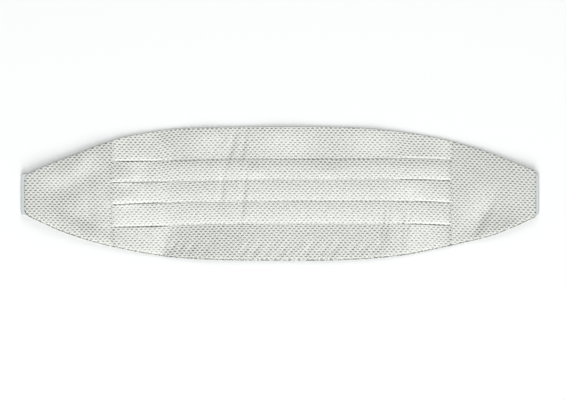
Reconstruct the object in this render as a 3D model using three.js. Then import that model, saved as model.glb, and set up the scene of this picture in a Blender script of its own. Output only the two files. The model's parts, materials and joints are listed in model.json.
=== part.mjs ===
// A pleated cummerbund lying face up, closed by its own strap, which runs flat beneath it from end to end.
// Millimetres. +X runs along the sash, +Y to its upper long edge as worn, +Z up. It lies on the plane Z = 0.
import * as THREE from "three";

// Driving sizes
const BODY_LENGTH = 494; // face cloth, tip to tip
const CENTRE_HEIGHT = 127; // nominal height, which the outline's shares refer to; its tallest place is a little more
const PANEL_LENGTH = 328; // pleated cloth between its two seams
const PANEL_SHIFT = 1.8; // middle of the pleated cloth, to the right of the sash's middle
const FACE_WALL = 1; // one layer of face cloth
const LINING_WALL = 1; // one layer of lining
const LINING_RIM = 0.2; // lining that shows past the face along the lower edge
const PIECE_GAP = 0.35; // clearance between neighbouring pieces
const LAYER_GAP = 0.25; // air between the layers of a pleat
const PLEAT_DEPTH = 9; // how far each pleat tucks in under the next band
const PLEAT_POWER = 2; // how soon a pleat levels off above its lower end
const HEM_POWER = 4; // the same for the lowest band, which is level nearly all the way
const TOP_PUFF = 1.1; // how far the band above the pleats bulges
const TAB_PUFF = 0.9; // how far the plain end pieces bulge
const HEM_RISE = 0.8; // turned-in cloth that lifts the face along its lower edge
const HEM_WIDTH = 10; // how far that turned-in cloth reaches
const SEAM_RIDGE = 0.8; // pressed seam allowance that lifts an end piece beside its seam
const SEAM_ALLOWANCE = 8; // width of that ridge
const STRAP_WIDTH = 40;
const STRAP_DROP = 2; // middle of the straps, below the sash's middle
const STRAP_WALL = 1;
const STRAP_TUCK = 9; // strap held inside the end, between face and lining
const STRAP_RETURN = 18; // strap end turned back over the clasp bar
const TIP_RISE = 3.4; // clear height between the strap and the lining at the tips
const CLASP_INSET = 41.5; // middle of the clasp, from the left tip
const CLASP_WALL = 1;
const CLASP_BAR = 3; // bar that a strap turns round
const CLASP_SLOT = 4; // slot that a strap passes through
const CLASP_WEB = 9; // plate between the two slots
const CLASP_SIDE = 3; // plate beside the slots
const CLASP_CLEARANCE = 1; // between a strap's edge and the end of its slot
const CLASP_CORNER = 2.5; // corner radius of the plate
const ARCH_MARGIN = 4; // lining stays level this far past the clasp and straps
const ARCH_SLOPE = 40; // length over which the lining comes down beyond the clasp
const ARCH_SHARE = 0.75; // most of the sash's half height that the level part of the arch may take
const TUCK_ROOM_END = 4; // the face has parted from the lining this far before the strap
const TUCK_ROOM_START = 26; // and begins to part from it this far before the strap
const SWELL_BLEND = 0.12; // share of CENTRE_HEIGHT over which a swell ends

// Fineness of the surfaces
const STATION_STEP = 15; // distance between cross sections
const TIP_STATIONS = [0.988, 0.995]; // further cross sections by the round corners, as shares of the half length
const SEAM_STATIONS = 3; // cross sections over the seam allowance
const BAND_STEPS = 5; // along one pleat
const HEM_STEPS = 8; // along the lowest band
const TOP_STEPS = 6; // along the band above the pleats
const END_COLUMNS = 8; // across an end piece
const LINING_COLUMNS = 14; // across the lining
const FOLD_SEGMENTS = 4; // round a fold
const TURN_SEGMENTS = 3; // round the turn at the bottom of a tuck
const STRAP_SEGMENTS = 6; // round a turn of the strap
const CORNER_SEGMENTS = 4; // round a corner of the clasp

// Outline of the face cloth. along is a share of BODY_LENGTH, upper and lower are shares of CENTRE_HEIGHT.
const OUTLINE = [
  { along: -0.5, upper: 0.112, lower: -0.154 },
  { along: -0.494, upper: 0.135, lower: -0.176 },
  { along: -0.468, upper: 0.186, lower: -0.224 },
  { along: -0.433, upper: 0.243, lower: -0.286 },
  { along: -0.39, upper: 0.305, lower: -0.345 },
  { along: -0.351, upper: 0.364, lower: -0.39 },
  { along: -0.312, upper: 0.413, lower: -0.424 },
  { along: -0.273, upper: 0.445, lower: -0.455 },
  { along: -0.213, upper: 0.48, lower: -0.49 },
  { along: -0.142, upper: 0.492, lower: -0.508 },
  { along: 0, upper: 0.5, lower: -0.516 },
  { along: 0.101, upper: 0.498, lower: -0.515 },
  { along: 0.183, upper: 0.482, lower: -0.499 },
  { along: 0.243, upper: 0.457, lower: -0.474 },
  { along: 0.313, upper: 0.409, lower: -0.42 },
  { along: 0.352, upper: 0.371, lower: -0.386 },
  { along: 0.406, upper: 0.307, lower: -0.336 },
  { along: 0.453, upper: 0.236, lower: -0.268 },
  { along: 0.487, upper: 0.182, lower: -0.207 },
  { along: 0.497, upper: 0.165, lower: -0.185 },
  { along: 0.5, upper: 0.153, lower: -0.173 },
];

// Heights of the four pleat folds, first at the top. along is a share of BODY_LENGTH, the rest of CENTRE_HEIGHT.
const FOLDS = [
  { along: -0.33, first: 0.233, second: 0.0765, third: -0.093, fourth: -0.2645 },
  { along: -0.243, first: 0.2386, second: 0.0795, third: -0.081, fourth: -0.259 },
  { along: -0.156, first: 0.246, second: 0.087, third: -0.075, fourth: -0.244 },
  { along: 0, first: 0.2515, second: 0.0955, third: -0.068, fourth: -0.2386 },
  { along: 0.137, first: 0.255, second: 0.0955, third: -0.066, fourth: -0.2386 },
  { along: 0.254, first: 0.2577, second: 0.098, third: -0.066, fourth: -0.24 },
  { along: 0.337, first: 0.246, second: 0.091, third: -0.0765, fourth: -0.2507 },
];
const FOLD_COLUMNS = ["fourth", "third", "second", "first"]; // from the lower edge up

// How the sash lifts off the surface towards its tips. along is a share of BODY_LENGTH, lift of the tips' height.
const LIFT = [
  { along: -0.5, lift: 1 },
  { along: -0.45, lift: 0.76 },
  { along: -0.39, lift: 0.6 },
  { along: -0.35, lift: 0.34 },
  { along: -0.31, lift: 0.24 },
  { along: -0.27, lift: 0.18 },
  { along: -0.235, lift: 0.05 },
  { along: -0.2, lift: 0 },
  { along: 0.33, lift: 0 },
  { along: 0.37, lift: 0.06 },
  { along: 0.41, lift: 0.27 },
  { along: 0.45, lift: 0.55 },
  { along: 0.5, lift: 0.62 },
];

// Low swells in the face cloth. along and wide are shares of BODY_LENGTH, from and to are shares of
// CENTRE_HEIGHT, and high is a share of FACE_WALL.
const SWELLS = [
  { along: -0.092, from: 0.1, to: 0.5, wide: 0.02, high: 0.7 },
  { along: -0.225, from: -0.5, to: -0.2, wide: 0.03, high: 0.5 },
  { along: 0.235, from: -0.45, to: 0.05, wide: 0.025, high: 0.6 },
  { along: -0.39, from: -0.3, to: 0.25, wide: 0.045, high: 0.8 },
  { along: 0.385, from: -0.35, to: 0.1, wide: 0.04, high: 0.7 },
];

const COLOURS = {
  face: 0xe3e2dc,
  lining: 0xe9e8e3,
  strap: 0xd9d9d6,
  clasp: 0xc4c6c8,
};

// Smooth step from 0 at a to 1 at b.
function ease(a, b, t) {
  const s = Math.min(1, Math.max(0, (t - a) / (b - a)));
  return s * s * (3 - 2 * s);
}

// A table's column as a smooth curve: a cubic between rows, with slopes taken from the neighbouring rows.
function curveOf(table, column) {
  const at = table.map((row) => row.along);
  const value = table.map((row) => row[column]);
  const last = at.length - 1;
  const chord = (i) => (value[i + 1] - value[i]) / (at[i + 1] - at[i]);
  const slope = at.map((_, i) => {
    if (i === 0) return chord(0);
    if (i === last) return chord(last - 1);
    return chord(i - 1) * chord(i) <= 0 ? 0 : (chord(i - 1) + chord(i)) / 2;
  });
  return (along) => {
    const t = Math.min(at[last], Math.max(at[0], along));
    const i = Math.min(last - 1, Math.max(0, at.findIndex((a) => a >= t) - 1));
    const span = at[i + 1] - at[i];
    const s = (t - at[i]) / span;
    return (
      value[i] * (1 + 2 * s) * (1 - s) ** 2 +
      value[i + 1] * s * s * (3 - 2 * s) +
      slope[i] * span * s * (1 - s) ** 2 -
      slope[i + 1] * span * s * s * (1 - s)
    );
  };
}

const upperShare = curveOf(OUTLINE, "upper");
const lowerShare = curveOf(OUTLINE, "lower");
const liftShare = curveOf(LIFT, "lift");
const foldShares = FOLD_COLUMNS.map((column) => curveOf(FOLDS, column));

const upperEdge = (x) => upperShare(x / BODY_LENGTH) * CENTRE_HEIGHT;
const lowerEdge = (x) => lowerShare(x / BODY_LENGTH) * CENTRE_HEIGHT;
const foldHeights = (x) => foldShares.map((share) => share(x / BODY_LENGTH) * CENTRE_HEIGHT);

// Sizes that follow from the driving ones
const tipX = BODY_LENGTH / 2;
const claspPlace = CLASP_INSET - tipX;
const leftSeam = PANEL_SHIFT - PANEL_LENGTH / 2;
const rightSeam = PANEL_SHIFT + PANEL_LENGTH / 2;
const strapTop = STRAP_WALL;
const claspBottom = strapTop + PIECE_GAP;
const returnBottom = claspBottom + CLASP_WALL + PIECE_GAP;
const claspStackTop = returnBottom + STRAP_WALL;
const tipLift = strapTop + TIP_RISE;
const slotInner = CLASP_WEB / 2;
const barInner = slotInner + CLASP_SLOT;
const claspHalfLength = barInner + CLASP_BAR;
const claspHalfWidth = STRAP_WIDTH / 2 + CLASP_CLEARANCE + CLASP_SIDE;
const claspReach = barInner + STRAP_RETURN;

// Height of the lining's underside: its long edges lie on the surface, its middle clears the strap and the clasp,
// and the whole sash lifts towards the tips.
function underside(x, y) {
  const lift = liftShare(x / BODY_LENGTH) * tipLift;
  const nearClasp = claspReach + ARCH_MARGIN;
  const overClasp = 1 - ease(nearClasp, nearClasp + ARCH_SLOPE, Math.abs(x - claspPlace));
  const need = strapTop + PIECE_GAP + (claspStackTop - strapTop) * overClasp;
  const middle = (upperEdge(x) + lowerEdge(x)) / 2;
  const half = (upperEdge(x) - lowerEdge(x)) / 2;
  const flat = Math.min(claspHalfWidth + STRAP_DROP + ARCH_MARGIN, half * ARCH_SHARE);
  const rise = Math.max(0, need - lift) * (1 - ease(flat, half, Math.abs(y - middle)));
  return lift + rise;
}

// The face parts from the lining near each tip, where the strap is sewn in between them.
function faceGap(x) {
  const room = ease(tipX - STRAP_TUCK - TUCK_ROOM_START, tipX - STRAP_TUCK - TUCK_ROOM_END, Math.abs(x));
  return PIECE_GAP + room * (STRAP_WALL + PIECE_GAP);
}

const faceFloor = (x, y) => underside(x, y) + LINING_WALL + faceGap(x);

// Height that the swells add to the face.
function swells(x, y) {
  const blend = CENTRE_HEIGHT * SWELL_BLEND;
  return SWELLS.reduce((sum, swell) => {
    const off = (x / BODY_LENGTH - swell.along) / swell.wide;
    const from = swell.from * CENTRE_HEIGHT;
    const to = swell.to * CENTRE_HEIGHT;
    const reach = ease(from - blend, from + blend, y) * (1 - ease(to - blend, to + blend, y));
    return sum + swell.high * FACE_WALL * reach * Math.exp(-off * off);
  }, 0);
}

// Places of the cross sections between two ends, no further apart than STATION_STEP.
function stations(from, to, step = STATION_STEP) {
  const count = Math.ceil((to - from) / step);
  return Array.from({ length: count + 1 }, (_, i) => from + ((to - from) * i) / count);
}

// Closed solid between two grids of points. Rows run along the first direction, columns along the second, and the
// first grid's faces look along rows x columns.
function solidBetween(above, below) {
  const rows = above.length;
  const columns = above[0].length;
  const points = [...above.flat(), ...below.flat()];
  const top = (i, j) => i * columns + j;
  const bottom = (i, j) => rows * columns + i * columns + j;
  const index = [];
  const quad = (a, b, c, d) => index.push(a, b, c, a, c, d);
  for (let i = 0; i < rows - 1; i++) {
    for (let j = 0; j < columns - 1; j++) {
      quad(top(i, j), top(i + 1, j), top(i + 1, j + 1), top(i, j + 1));
      quad(bottom(i, j), bottom(i, j + 1), bottom(i + 1, j + 1), bottom(i + 1, j));
    }
    quad(top(i, 0), bottom(i, 0), bottom(i + 1, 0), top(i + 1, 0));
    quad(top(i + 1, columns - 1), bottom(i + 1, columns - 1), bottom(i, columns - 1), top(i, columns - 1));
  }
  for (let j = 0; j < columns - 1; j++) {
    quad(top(0, j + 1), bottom(0, j + 1), bottom(0, j), top(0, j));
    quad(top(rows - 1, j), bottom(rows - 1, j), bottom(rows - 1, j + 1), top(rows - 1, j + 1));
  }
  const geometry = new THREE.BufferGeometry().setFromPoints(points);
  geometry.setIndex(index);
  geometry.computeVertexNormals();
  return geometry;
}

// A layer of cloth with its underside at floorAt(x, y), between two long edges.
function layer(places, lowerAt, upperAt, floorAt, wall, columns) {
  const grid = (raise) =>
    places.map((x) =>
      Array.from({ length: columns + 1 }, (_, j) => {
        const y = lowerAt(x) + ((upperAt(x) - lowerAt(x)) * j) / columns;
        return new THREE.Vector3(x, y, floorAt(x, y) + raise);
      }),
    );
  return solidBetween(grid(wall), grid(0));
}

// A flat path of [u, v] points turned into its two offset sides, half a wall to each side of it.
function offsets(path, wall) {
  return path.map(([u, v], i) => {
    const [u0, v0] = path[Math.max(0, i - 1)];
    const [u1, v1] = path[Math.min(path.length - 1, i + 1)];
    const length = Math.hypot(u1 - u0, v1 - v0);
    const [nu, nv] = [-(v1 - v0) / length, (u1 - u0) / length];
    const half = wall / 2;
    return { left: [u + nu * half, v + nv * half], right: [u - nu * half, v - nv * half] };
  });
}

// Points of an arc about a centre, without its two ends. Angles in degrees.
function arc(u, v, radius, from, to, segments) {
  return Array.from({ length: segments - 1 }, (_, i) => {
    const angle = THREE.MathUtils.degToRad(from + ((to - from) * (i + 1)) / segments);
    return [u + radius * Math.cos(angle), v + radius * Math.sin(angle)];
  });
}

// Middle line of the folded face cloth at one cross section, as [y, height above its floor] from the lower edge up.
// Each band rises to a soft crest at its fold, turns back beneath itself, and tucks in under the band below.
function pleatPath(x) {
  const folds = foldHeights(x);
  const ground = FACE_WALL / 2;
  const pitch = FACE_WALL + LAYER_GAP;
  const turn = pitch / 2;
  const low = lowerEdge(x);
  const path = [];
  let from = low;
  folds.forEach((fold, k) => {
    const power = k === 0 ? HEM_POWER : PLEAT_POWER;
    const tuck = (PLEAT_DEPTH + turn + FACE_WALL / 2) / (fold - from);
    const crest = (2 * pitch) / (1 - tuck ** power);
    const radius = (crest - pitch) / 2;
    const crown = fold - FACE_WALL / 2 - radius;
    const steps = k === 0 ? HEM_STEPS : BAND_STEPS;
    for (let s = 0; s <= steps; s++) {
      const t = s / steps;
      const y = from + (crown - from) * t;
      const hem = k === 0 ? HEM_RISE * Math.sin(Math.PI * Math.min(1, (y - low) / HEM_WIDTH)) : 0;
      path.push([y, ground + crest * (1 - (1 - t) ** power) + hem]);
    }
    path.push(...arc(crown, ground + pitch + radius, radius, 90, -90, FOLD_SEGMENTS));
    path.push([crown, ground + pitch]);
    path.push([fold - PLEAT_DEPTH, ground + pitch]);
    path.push(...arc(fold - PLEAT_DEPTH, ground + turn, turn, 90, 270, TURN_SEGMENTS));
    path.push([fold - PLEAT_DEPTH, ground]);
    from = fold;
  });
  const high = upperEdge(x);
  for (let s = 0; s <= TOP_STEPS; s++) {
    const t = s / TOP_STEPS;
    path.push([from + (high - from) * t, ground + TOP_PUFF * 4 * t * (1 - t)]);
  }
  return path;
}

function pleatedPanel() {
  const places = stations(leftSeam + PIECE_GAP / 2, rightSeam - PIECE_GAP / 2);
  const sections = places.map((x) => ({ x, sides: offsets(pleatPath(x), FACE_WALL) }));
  const grid = (side) =>
    sections.map(({ x, sides }) =>
      sides.map((pair) => {
        const [y, height] = pair[side];
        return new THREE.Vector3(x, y, faceFloor(x, y) + height + swells(x, y));
      }),
    );
  return solidBetween(grid("left"), grid("right"));
}

// A plain end piece, with the pressed seam allowance as a ridge beside its seam.
function endPanel(side) {
  const seam = side < 0 ? leftSeam : rightSeam;
  const near = seam + (side * PIECE_GAP) / 2;
  const tip = side * tipX;
  const ridgeEnd = near + side * SEAM_ALLOWANCE;
  const rows = [
    ...stations(Math.min(near, ridgeEnd), Math.max(near, ridgeEnd), SEAM_ALLOWANCE / SEAM_STATIONS),
    ...stations(Math.min(ridgeEnd, tip), Math.max(ridgeEnd, tip), STATION_STEP / 2),
    ...TIP_STATIONS.map((share) => side * tipX * share),
  ];
  const places = [...new Set(rows)].sort((a, b) => a - b);
  const floorAt = (x, y) => {
    const middle = (upperEdge(x) + lowerEdge(x)) / 2;
    const half = (upperEdge(x) - lowerEdge(x)) / 2;
    const across = 1 - ((y - middle) / half) ** 2;
    const along = Math.abs(x - seam) / Math.abs(tip - seam);
    const puff = TAB_PUFF * across * 4 * along * (1 - along);
    const ridge = SEAM_RIDGE * across * Math.sin(Math.PI * Math.min(1, Math.abs(x - near) / SEAM_ALLOWANCE));
    return faceFloor(x, y) + puff + ridge + swells(x, y) * across;
  };
  return layer(places, lowerEdge, upperEdge, floorAt, FACE_WALL, END_COLUMNS);
}

function backLining() {
  const places = [
    ...stations(-tipX, leftSeam, STATION_STEP / 2),
    ...stations(leftSeam, rightSeam),
    ...stations(rightSeam, tipX, STATION_STEP / 2),
  ];
  const [corner] = TIP_STATIONS;
  const rows = [...new Set([...places, -tipX * corner, tipX * corner])].sort((a, b) => a - b);
  const rim = (x) => lowerEdge(x) - LINING_RIM;
  return layer(rows, rim, upperEdge, underside, LINING_WALL, LINING_COLUMNS);
}

// Middle line of one strap as [distance from the sash's middle towards its own tip, height]: out of the tip,
// round and under, flat along the surface, up through the clasp's slot, over its bar and back along its own top.
function strapPath(side) {
  const clasp = side * claspPlace;
  const bar = clasp + barInner;
  const half = STRAP_WALL / 2;
  const tipFloor = underside(side * tipX, 0) + LINING_WALL + PIECE_GAP;
  const tipRadius = tipFloor / 2;
  const barRadius = returnBottom / 2;
  const path = [];
  for (const x of [tipX - STRAP_TUCK, tipX - STRAP_TUCK / 2, tipX]) {
    const floor = underside(side * x, 0) + LINING_WALL + PIECE_GAP;
    path.push([x, floor + half]);
  }
  path.push(...arc(tipX, tipRadius + half, tipRadius, 90, -90, STRAP_SEGMENTS));
  path.push([tipX, half]);
  path.push([(tipX + bar) / 2, half]);
  path.push([bar, half]);
  path.push(...arc(bar, barRadius + half, barRadius, 270, 90, STRAP_SEGMENTS));
  path.push([bar, returnBottom + half]);
  path.push([clasp + claspHalfLength, returnBottom + half]);
  path.push([clasp + claspHalfLength + CLASP_BAR, strapTop + LAYER_GAP + half]);
  path.push([clasp + claspReach, strapTop + LAYER_GAP + half]);
  return path;
}

function strap(side) {
  const sides = offsets(strapPath(side), STRAP_WALL);
  const half = (side * STRAP_WIDTH) / 2;
  const edges = [half - STRAP_DROP, -half - STRAP_DROP];
  const grid = (name) =>
    edges.map((y) => sides.map((pair) => new THREE.Vector3(side * pair[name][0], y, pair[name][1])));
  return solidBetween(grid("left"), grid("right"));
}

// Outline of a rectangle with round corners, about a centre.
function roundedRectangle(shape, x, halfLength, halfWidth, radius) {
  shape.moveTo(x - halfLength + radius, -halfWidth);
  shape.lineTo(x + halfLength - radius, -halfWidth);
  shape.absarc(x + halfLength - radius, -halfWidth + radius, radius, -Math.PI / 2, 0, false);
  shape.lineTo(x + halfLength, halfWidth - radius);
  shape.absarc(x + halfLength - radius, halfWidth - radius, radius, 0, Math.PI / 2, false);
  shape.lineTo(x - halfLength + radius, halfWidth);
  shape.absarc(x - halfLength + radius, halfWidth - radius, radius, Math.PI / 2, Math.PI, false);
  shape.lineTo(x - halfLength, -halfWidth + radius);
  shape.absarc(x - halfLength + radius, -halfWidth + radius, radius, Math.PI, 1.5 * Math.PI, false);
  return shape;
}

// Flat plate with a slot for each strap.
function claspPlate() {
  const slotMiddle = slotInner + CLASP_SLOT / 2;
  const slotHalfWidth = claspHalfWidth - CLASP_SIDE;
  const plate = roundedRectangle(new THREE.Shape(), 0, claspHalfLength, claspHalfWidth, CLASP_CORNER);
  for (const side of [-1, 1]) {
    const slot = new THREE.Path();
    plate.holes.push(roundedRectangle(slot, side * slotMiddle, CLASP_SLOT / 2, slotHalfWidth, CLASP_SLOT / 4));
  }
  const options = { depth: CLASP_WALL, bevelEnabled: false, curveSegments: CORNER_SEGMENTS };
  return new THREE.ExtrudeGeometry(plate, options);
}

function piece(name, geometry, colour, roughness, metalness = 0) {
  const material = new THREE.MeshStandardMaterial({ color: colour, roughness, metalness });
  const mesh = new THREE.Mesh(geometry, material);
  mesh.name = name;
  return mesh;
}

const cummerbund = new THREE.Group();
cummerbund.add(piece("pleated_panel", pleatedPanel(), COLOURS.face, 0.5));
cummerbund.add(piece("left_end_panel", endPanel(-1), COLOURS.face, 0.5));
cummerbund.add(piece("right_end_panel", endPanel(1), COLOURS.face, 0.5));
cummerbund.add(piece("back_lining", backLining(), COLOURS.lining, 0.7));
cummerbund.add(piece("left_strap", strap(-1), COLOURS.strap, 0.6));
cummerbund.add(piece("right_strap", strap(1), COLOURS.strap, 0.6));
const clasp = piece("clasp_plate", claspPlate(), COLOURS.clasp, 0.3, 1);
clasp.position.set(claspPlace, -STRAP_DROP, claspBottom);
cummerbund.add(clasp);

// The origin is under the middle of the whole, on the plane that it lies on.
const extent = new THREE.Box3().setFromObject(cummerbund);
const middle = extent.getCenter(new THREE.Vector3());
cummerbund.position.set(-middle.x, -middle.y, -extent.min.z);

export default cummerbund;
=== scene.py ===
# %% [markdown]
# # A pleated cummerbund, lying face up
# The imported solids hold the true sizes. This lesson dresses them: each cloth piece is made again as a fine
# surface worked out with numpy, in the place of its solid, and each finish is a material made of nodes.
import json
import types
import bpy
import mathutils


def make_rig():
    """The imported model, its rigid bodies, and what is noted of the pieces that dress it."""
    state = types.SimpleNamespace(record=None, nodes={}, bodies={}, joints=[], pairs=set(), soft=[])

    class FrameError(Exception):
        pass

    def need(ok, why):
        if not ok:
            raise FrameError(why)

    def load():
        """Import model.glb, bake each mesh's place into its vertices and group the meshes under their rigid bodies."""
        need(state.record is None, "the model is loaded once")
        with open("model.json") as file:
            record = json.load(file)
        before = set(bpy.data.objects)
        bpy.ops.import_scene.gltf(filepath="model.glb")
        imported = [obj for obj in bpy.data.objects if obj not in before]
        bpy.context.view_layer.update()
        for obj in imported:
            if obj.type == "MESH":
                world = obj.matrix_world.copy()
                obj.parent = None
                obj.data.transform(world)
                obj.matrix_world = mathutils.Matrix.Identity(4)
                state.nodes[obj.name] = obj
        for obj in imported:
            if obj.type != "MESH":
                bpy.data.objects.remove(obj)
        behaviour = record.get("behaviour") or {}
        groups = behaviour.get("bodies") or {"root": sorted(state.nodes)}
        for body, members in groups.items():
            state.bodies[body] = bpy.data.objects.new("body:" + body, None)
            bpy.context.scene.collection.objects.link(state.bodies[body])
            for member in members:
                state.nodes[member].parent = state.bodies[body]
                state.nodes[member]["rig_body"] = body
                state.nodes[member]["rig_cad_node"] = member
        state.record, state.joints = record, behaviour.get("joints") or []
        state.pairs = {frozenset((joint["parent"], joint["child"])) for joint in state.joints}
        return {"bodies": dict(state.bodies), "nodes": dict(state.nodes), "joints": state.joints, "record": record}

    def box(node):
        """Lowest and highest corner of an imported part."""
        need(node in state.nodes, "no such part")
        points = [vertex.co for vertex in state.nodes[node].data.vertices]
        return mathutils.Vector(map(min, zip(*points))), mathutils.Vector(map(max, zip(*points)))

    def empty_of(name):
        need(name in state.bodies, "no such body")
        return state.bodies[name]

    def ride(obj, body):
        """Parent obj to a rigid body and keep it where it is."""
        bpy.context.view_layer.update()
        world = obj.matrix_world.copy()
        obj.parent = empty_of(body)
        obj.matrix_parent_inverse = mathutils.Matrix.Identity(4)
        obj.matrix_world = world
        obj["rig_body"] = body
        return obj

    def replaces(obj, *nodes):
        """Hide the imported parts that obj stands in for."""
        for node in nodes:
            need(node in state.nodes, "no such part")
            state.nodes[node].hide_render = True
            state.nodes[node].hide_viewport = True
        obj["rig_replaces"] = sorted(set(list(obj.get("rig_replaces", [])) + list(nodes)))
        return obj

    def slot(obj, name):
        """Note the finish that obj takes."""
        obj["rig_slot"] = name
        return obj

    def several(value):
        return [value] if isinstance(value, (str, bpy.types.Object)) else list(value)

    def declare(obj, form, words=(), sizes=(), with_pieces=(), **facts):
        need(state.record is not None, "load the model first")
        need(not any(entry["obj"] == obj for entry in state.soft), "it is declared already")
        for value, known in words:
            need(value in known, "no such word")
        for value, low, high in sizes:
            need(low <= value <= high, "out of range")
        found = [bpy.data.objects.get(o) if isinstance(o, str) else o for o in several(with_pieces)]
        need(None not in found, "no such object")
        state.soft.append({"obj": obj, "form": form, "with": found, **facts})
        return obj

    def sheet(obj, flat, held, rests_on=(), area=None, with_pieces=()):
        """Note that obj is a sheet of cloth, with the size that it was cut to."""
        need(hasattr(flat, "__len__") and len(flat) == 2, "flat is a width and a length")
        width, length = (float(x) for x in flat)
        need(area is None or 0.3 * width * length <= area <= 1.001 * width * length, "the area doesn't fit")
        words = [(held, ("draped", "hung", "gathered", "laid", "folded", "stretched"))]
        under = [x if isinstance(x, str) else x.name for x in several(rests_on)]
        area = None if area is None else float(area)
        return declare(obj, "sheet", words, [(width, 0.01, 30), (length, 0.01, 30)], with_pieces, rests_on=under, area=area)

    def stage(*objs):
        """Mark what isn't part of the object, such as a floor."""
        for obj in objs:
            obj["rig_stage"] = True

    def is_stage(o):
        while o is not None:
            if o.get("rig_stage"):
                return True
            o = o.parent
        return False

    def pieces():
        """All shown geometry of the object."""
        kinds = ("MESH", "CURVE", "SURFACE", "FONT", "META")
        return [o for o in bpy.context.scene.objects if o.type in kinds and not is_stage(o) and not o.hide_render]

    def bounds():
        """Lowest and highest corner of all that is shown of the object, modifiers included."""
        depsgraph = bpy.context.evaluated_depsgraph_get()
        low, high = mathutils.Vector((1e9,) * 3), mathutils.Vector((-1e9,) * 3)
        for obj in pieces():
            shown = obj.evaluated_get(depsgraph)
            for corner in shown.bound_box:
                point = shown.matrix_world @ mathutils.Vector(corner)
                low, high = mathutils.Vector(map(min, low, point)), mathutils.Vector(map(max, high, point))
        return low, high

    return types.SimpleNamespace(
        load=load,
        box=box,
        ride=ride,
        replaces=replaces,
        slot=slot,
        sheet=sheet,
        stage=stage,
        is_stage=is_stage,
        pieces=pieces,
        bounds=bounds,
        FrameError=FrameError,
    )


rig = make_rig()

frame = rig.load()
solid_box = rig.bounds()
print("bodies", list(frame["bodies"]), "nodes", sorted(frame["nodes"]))

# %% [markdown]
# ## Sizes
# Everything below is worked out in millimetres from the middle of the face cloth, because a sewer thinks in
# millimetres. The frame gives the places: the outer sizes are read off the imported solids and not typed
# again.

# %% Sizes read off the solids
import json

import bpy
import numpy as np

MM = 0.001  # Blender works in metres


def box_of(node):
    """Lowest and highest corner of a solid, in millimetres."""
    low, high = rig.box(node)
    return np.array(low) / MM, np.array(high) / MM


left_low, left_high = box_of("left_end_panel")
right_low, right_high = box_of("right_end_panel")
pleat_low, pleat_high = box_of("pleated_panel")
lining_low, lining_high = box_of("back_lining")
strap_low, strap_high = box_of("right_strap")
clasp_low, clasp_high = box_of("clasp_plate")

LINING_RIM = 0.2  # lining that shows past the face along the lower edge
TALLEST = 1.016  # the upper and lower share of the outline's tallest station, added up
BODY_LENGTH = right_high[0] - left_low[0]
CENTRE_HEIGHT = (lining_high[1] - lining_low[1] - LINING_RIM) / TALLEST
MIDDLE = np.array([(left_low[0] + right_high[0]) / 2, lining_high[1] - CENTRE_HEIGHT / 2, 0])
LEFT_SEAM = (left_high[0] + pleat_low[0]) / 2 - MIDDLE[0]
RIGHT_SEAM = (right_low[0] + pleat_high[0]) / 2 - MIDDLE[0]
TIP = BODY_LENGTH / 2
print(f"face cloth {BODY_LENGTH:.1f} mm long, {CENTRE_HEIGHT * TALLEST:.1f} mm high at the middle")
print(f"seams at {LEFT_SEAM:.1f} and {RIGHT_SEAM:.1f} mm")

# %% [markdown]
# ## Outline, folds and lift
# A pattern cutter marks an outline at a few stations and joins them with a smooth line. The tables do the
# same: each row is a station, as a share of the sash's length, and a cubic curve runs through the rows. A
# Bezier curve object could draw the same outline, but the pleats need the heights as numbers that every
# layer can share.

# %% Tables of stations
OUTLINE = [
    {"along": -0.5, "upper": 0.127, "lower": -0.166},
    {"along": -0.494, "upper": 0.138, "lower": -0.176},
    {"along": -0.468, "upper": 0.186, "lower": -0.224},
    {"along": -0.433, "upper": 0.243, "lower": -0.286},
    {"along": -0.39, "upper": 0.305, "lower": -0.345},
    {"along": -0.351, "upper": 0.364, "lower": -0.39},
    {"along": -0.312, "upper": 0.413, "lower": -0.424},
    {"along": -0.273, "upper": 0.445, "lower": -0.455},
    {"along": -0.213, "upper": 0.48, "lower": -0.49},
    {"along": -0.142, "upper": 0.492, "lower": -0.508},
    {"along": 0, "upper": 0.5, "lower": -0.516},
    {"along": 0.101, "upper": 0.498, "lower": -0.515},
    {"along": 0.183, "upper": 0.482, "lower": -0.499},
    {"along": 0.243, "upper": 0.457, "lower": -0.474},
    {"along": 0.313, "upper": 0.409, "lower": -0.42},
    {"along": 0.352, "upper": 0.371, "lower": -0.386},
    {"along": 0.406, "upper": 0.307, "lower": -0.336},
    {"along": 0.453, "upper": 0.236, "lower": -0.268},
    {"along": 0.487, "upper": 0.182, "lower": -0.207},
    {"along": 0.5, "upper": 0.162, "lower": -0.185},
]
FOLDS = [
    {"along": -0.33, "first": 0.233, "second": 0.0765, "third": -0.093, "fourth": -0.2645},
    {"along": -0.243, "first": 0.2386, "second": 0.0795, "third": -0.081, "fourth": -0.259},
    {"along": -0.156, "first": 0.246, "second": 0.087, "third": -0.075, "fourth": -0.244},
    {"along": 0, "first": 0.2515, "second": 0.0955, "third": -0.068, "fourth": -0.2386},
    {"along": 0.137, "first": 0.255, "second": 0.0955, "third": -0.066, "fourth": -0.2386},
    {"along": 0.254, "first": 0.2577, "second": 0.098, "third": -0.066, "fourth": -0.24},
    {"along": 0.337, "first": 0.246, "second": 0.091, "third": -0.0765, "fourth": -0.2507},
]
LIFT = [
    {"along": -0.5, "lift": 1},
    {"along": -0.45, "lift": 0.84},
    {"along": -0.39, "lift": 0.68},
    {"along": -0.35, "lift": 0.52},
    {"along": -0.31, "lift": 0.34},
    {"along": -0.27, "lift": 0.17},
    {"along": -0.235, "lift": 0.05},
    {"along": -0.2, "lift": 0},
    {"along": 0.28, "lift": 0},
    {"along": 0.33, "lift": 0.1},
    {"along": 0.37, "lift": 0.18},
    {"along": 0.41, "lift": 0.29},
    {"along": 0.45, "lift": 0.44},
    {"along": 0.5, "lift": 0.62},
]
FOLD_COLUMNS = ["fourth", "third", "second", "first"]  # from the lower edge up


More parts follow.
